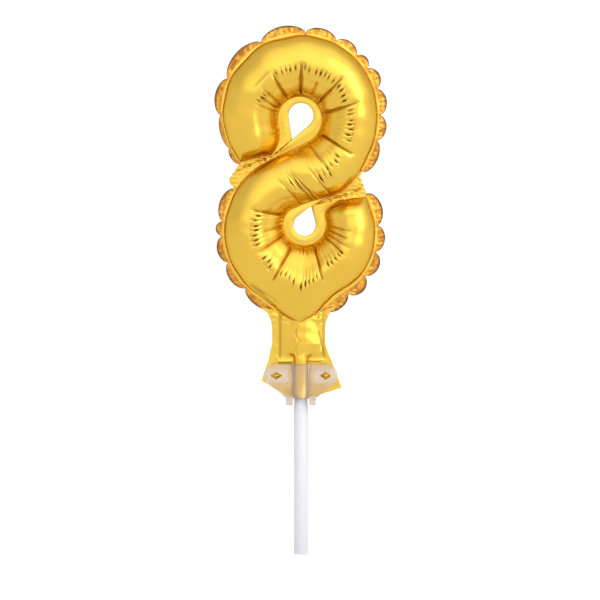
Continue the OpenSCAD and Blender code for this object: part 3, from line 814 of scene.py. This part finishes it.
def neckFilm(name, node, side, fullness, seed):
    # The neck's film h(x, z) in front of or behind the middle plane, with its folds, grooves and crumples
    patch = neckOutlinePatch()
    x, z = patch[:, :, 0], patch[:, :, 1]
    height = neckFace(x, z, fullness)
    # bright folds just above the clip, grooves beside the seams, and small crumples
    fold = (valley(z - 80.9 - 0.03 * x, 0.35) * smoothStep(np.abs(x), 3.2, 4.2)
            * (1 - smoothStep(np.abs(x), 8.5, 10)))
    groove = (valley(x + 8.7, 0.35) + 0.6 * valley(x - 9.3, 0.35)) * smoothStep(z, 81, 83)
    height = height + 0.5 * fold - 0.35 * groove + 0.05 * crumple(x, z, 7.0, seed)
    height = height + 0.3 * crumple(x, z, 3.0, seed + 1) * bump(z - 99, 2.2) * smoothStep(np.abs(x), 3, 6)
    # a wandering crease above the straw, x = -1.6 - 0.7 sin(0.9 z), and a slanted one on the right
    zigzag = (valley(x + 1.6 + 0.7 * np.sin(0.9 * z), 0.3)
              * smoothStep(z, 83, 84.5) * (1 - smoothStep(z, 93, 97)))
    slanted = (valley(x - 7.05 - 0.268 * (93.8 - z), 0.3)
               * smoothStep(z, 81, 83) * (1 - smoothStep(z, 92, 94)))
    height = height - 0.25 * zigzag - 0.3 * slanted
    # painted shade in the grooves beside the seams and along the two creases
    paintedFoldShade = np.clip(0.7 * groove + 0.4 * zigzag + 0.5 * slanted, 0, 1)
    if side < 0:
        # four-sided bumps over the clip's pegs
        wide, tall = neck["pegHalf"]
        diamond = 1 - np.abs(np.abs(x) - neck["pegAcross"]) / wide - np.abs(z - neck["pegHeight"]) / tall
        height = height + neck["pegRise"] * np.clip(1.4 * diamond, 0, 1)
    height = np.maximum(height, neck["leastHeight"])
    rings = filmRings(x, z, height, neck["filmHalf"], side)
    film = loft(name, rings, None, [node], goldFilmLook,
                {"fold": np.concatenate([paintedFoldShade, paintedFoldShade[:, ::-1]], axis=1)})
    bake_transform(film)
    return film


neckFilm("neck_front_foil_film", "neck_front_foil", -1, 1.0, 2)
neckFilm("neck_back_foil_film", "neck_back_foil", 1, 0.75, 7)


def valveFilm(name, node, side):
    # A half tube sqrt(R^2 - x^2) over the stick with flat wings, which closes flat above the stick
    valve = {"halfWidth": 7.6, "low": 66.0, "high": 86.0, "radius": 2.88, "face": 0.08, "filmHalf": 0.03,
             "closes": (81.5, 85.5), "across": 110, "rows": 70}
    x, z = np.meshgrid(np.linspace(-1, 1, valve["across"]) * valve["halfWidth"],
                       np.linspace(valve["low"], valve["high"], valve["rows"]))
    tube = np.sqrt(np.maximum(valve["radius"] ** 2 - x ** 2, 0)) * (1 - smoothStep(z, *valve["closes"]))
    rings = filmRings(x, z, np.maximum(valve["face"], tube), valve["filmHalf"], side)
    return loft(name, rings, "clip", [node], valveLook)


valveFilm("valve_front_film_sheet", "valve_front_film", -1)
valveFilm("valve_back_film_sheet", "valve_back_film", 1)
print("neck and valve made")


def mouldedPart(node, body):
    # The moulded part as designed, its loose triangles joined and its sharp edges rounded off
    moulding = {"edgeRadius": 0.14, "segments": 2, "flatWithin": 1, "sharpOver": 35, "joinWithin": 0.001}
    designed = bpy.data.objects[node]
    mesh = designed.data.copy()
    mesh.name = node + "_moulded"
    shape = bmesh.new()
    shape.from_mesh(mesh)
    bmesh.ops.remove_doubles(shape, verts=shape.verts, dist=moulding["joinWithin"] * mm)
    bmesh.ops.dissolve_limit(shape, angle_limit=math.radians(moulding["flatWithin"]),
                             verts=shape.verts, edges=shape.edges)
    shape.to_mesh(mesh)
    shape.free()
    mesh.materials.clear()
    mesh.materials.append(clipLook)
    piece = bpy.data.objects.new(node + "_moulded", mesh)
    bpy.context.scene.collection.objects.link(piece)
    bevel = piece.modifiers.new("rounding", "BEVEL")
    bevel.width = moulding["edgeRadius"] * mm
    bevel.segments = moulding["segments"]
    bevel.limit_method = "ANGLE"
    bevel.angle_limit = math.radians(moulding["sharpOver"])
    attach(piece, body)
    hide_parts(node)
    return piece


for node, body in (("clip_rear_leaf", "clip"), ("clip_front_leaf", "front_leaf"),
                   ("hinge_strap_left", "clip"), ("hinge_strap_right", "clip")):
    mouldedPart(node, body)


def strawStick():
    # A closed profile turned round the upright axis: out along the cut foot, up the wall, in at the step
    straw = {"radius": 3.0, "bore": 2.45, "stepHeight": 62.2, "grip": 2.75, "length": 82.0, "lip": 0.12,
             "sides": 96}
    lip = straw["lip"]
    profile = np.array([
        (straw["bore"], lip), (straw["bore"] + lip, 0), (straw["radius"] - lip, 0), (straw["radius"], lip),
        (straw["radius"], straw["stepHeight"] - lip), (straw["radius"] - lip, straw["stepHeight"]),
        (straw["grip"], straw["stepHeight"] + lip), (straw["grip"], straw["length"] - lip),
        (straw["grip"] - lip, straw["length"]), (straw["bore"] + lip / 2, straw["length"]),
        (straw["bore"], straw["length"] - lip)])
    turn = np.linspace(0, 2 * np.pi, straw["sides"], endpoint=False)
    x = np.cos(turn)[:, None] * profile[None, :, 0]
    y = np.sin(turn)[:, None] * profile[None, :, 0]
    rings = np.stack([x, y, np.broadcast_to(profile[:, 1], x.shape)], axis=2)
    return loft("straw_stick_tube", rings, "stick", ["straw_stick"], strawLook,
                capped=False)


strawStick()
print("clip and stick made")

lowCorner, highCorner = (np.array(corner) / mm for corner in cadBox)


def cameraAndLight():
    # A long lens a little above the middle: place = aim + distance (0, -cos e, sin e)
    view = {"frameWidth": 249.0, "aimX": -0.4, "aimBelowMiddle": 3.8, "elevation": 5.5,
            "distance": 2200.0, "sensor": 36}
    aim = np.array([view["aimX"], 0, (lowCorner[2] + highCorner[2]) / 2 - view["aimBelowMiddle"]])
    tilt = math.radians(view["elevation"])
    camera = bpy.data.cameras.new("camera")
    camera.sensor_width = view["sensor"]
    camera.lens = view["sensor"] * view["distance"] / view["frameWidth"]
    camera.clip_end = 100
    holder = bpy.data.objects.new("camera", camera)
    holder.location = (aim + view["distance"] * np.array([0, -math.cos(tilt), math.sin(tilt)])) * mm
    holder.rotation_euler = (math.pi / 2 - tilt, 0, 0)
    bpy.context.scene.collection.objects.link(holder)
    bpy.context.scene.camera = holder

    # place, width, height and aim in metres, and how bright the softbox looks next to white
    softbox = {"place": (2.4, -2.3, 1.0), "size": (1.7, 3.2), "aimHeight": 0.15, "brightness": 1.8}
    lamp = bpy.data.lights.new("rightSheet", "AREA")
    lamp.shape = "RECTANGLE"
    lamp.size, lamp.size_y = softbox["size"]
    lamp.energy = softbox["brightness"] * math.pi * softbox["size"][0] * softbox["size"][1]
    lampHolder = bpy.data.objects.new("rightSheet", lamp)
    lampHolder.location = softbox["place"]
    towards = Vector((0, 0, softbox["aimHeight"])) - Vector(softbox["place"])
    lampHolder.rotation_euler = towards.to_track_quat("-Z", "Y").to_euler()
    bpy.context.scene.collection.objects.link(lampHolder)

    # a white tent, brightest towards the front, above and to the right, and darker below the horizon
    tent = {"towards": (0.3, -0.82, 0.42), "glow": 1.0, "glowFrom": 0.1, "horizon": 1.02, "wall": 0.86,
            "wallFrom": 0.5, "lowGlow": 0.35, "lowFrom": -0.05, "lowTo": 0.3}
    world = bpy.data.worlds.new("studio")
    world.use_nodes = True
    tree = world.node_tree
    tree.nodes.clear()
    place = addNode(tree, "ShaderNodeTexCoord")
    facing = addNode(tree, "ShaderNodeVectorMath", {"operation": "DOT_PRODUCT", 1: tent["towards"]},
                     {0: place.outputs["Generated"]})
    axes = addNode(tree, "ShaderNodeSeparateXYZ", {}, {"Vector": place.outputs["Generated"]})
    # smooth ramps: the glow round its middle, its fading below the horizon, and the walls up to the roof
    glow, fading, walls = (
        addNode(tree, "ShaderNodeMapRange",
                {"interpolation_type": "SMOOTHSTEP", "From Min": low, "From Max": high,
                 "To Min": start, "To Max": stop}, {"Value": source})
        for source, low, high, start, stop in (
            (facing.outputs["Value"], tent["glowFrom"], 1.0, 0, tent["glow"]),
            (axes.outputs["Z"], tent["lowFrom"], tent["lowTo"], tent["lowGlow"], 1.0),
            (axes.outputs["Z"], 0.0, tent["wallFrom"], tent["horizon"], tent["wall"])))
    total = addNode(tree, "ShaderNodeMath", {"operation": "MULTIPLY_ADD"},
                    {0: glow.outputs["Result"], 1: fading.outputs["Result"], 2: walls.outputs["Result"]})
    background = addNode(tree, "ShaderNodeBackground", {"Color": (1, 1, 1, 1)},
                         {"Strength": total.outputs["Value"]})
    addNode(tree, "ShaderNodeOutputWorld", {}, {"Surface": background.outputs["Background"]})
    bpy.context.scene.world = world
    bpy.context.scene.view_settings.view_transform = "Standard"


def floor():
    # A wide board of matte white card under the object
    card = {"reach": 12.0, "level": -0.06, "white": "#f2f2f2", "roughness": 0.9}  # metres
    corners = [(x * card["reach"], y * card["reach"], card["level"])
               for x, y in ((-1, -1), (1, -1), (1, 1), (-1, 1))]
    mesh = bpy.data.meshes.new("floor")
    mesh.from_pydata(corners, [], [(0, 1, 2, 3)])
    material, tree = newMaterial("matteWhiteBoard")
    shader = addNode(tree, "ShaderNodeBsdfPrincipled",
                     {"Base Color": linearColour(card["white"]), "Roughness": card["roughness"]})
    addNode(tree, "ShaderNodeOutputMaterial", {}, {"Surface": shader.outputs["BSDF"]})
    mesh.materials.append(material)
    board = bpy.data.objects.new("floor", mesh)
    bpy.context.scene.collection.objects.link(board)


cameraAndLight()
floor()
print("camera, lights and floor made")
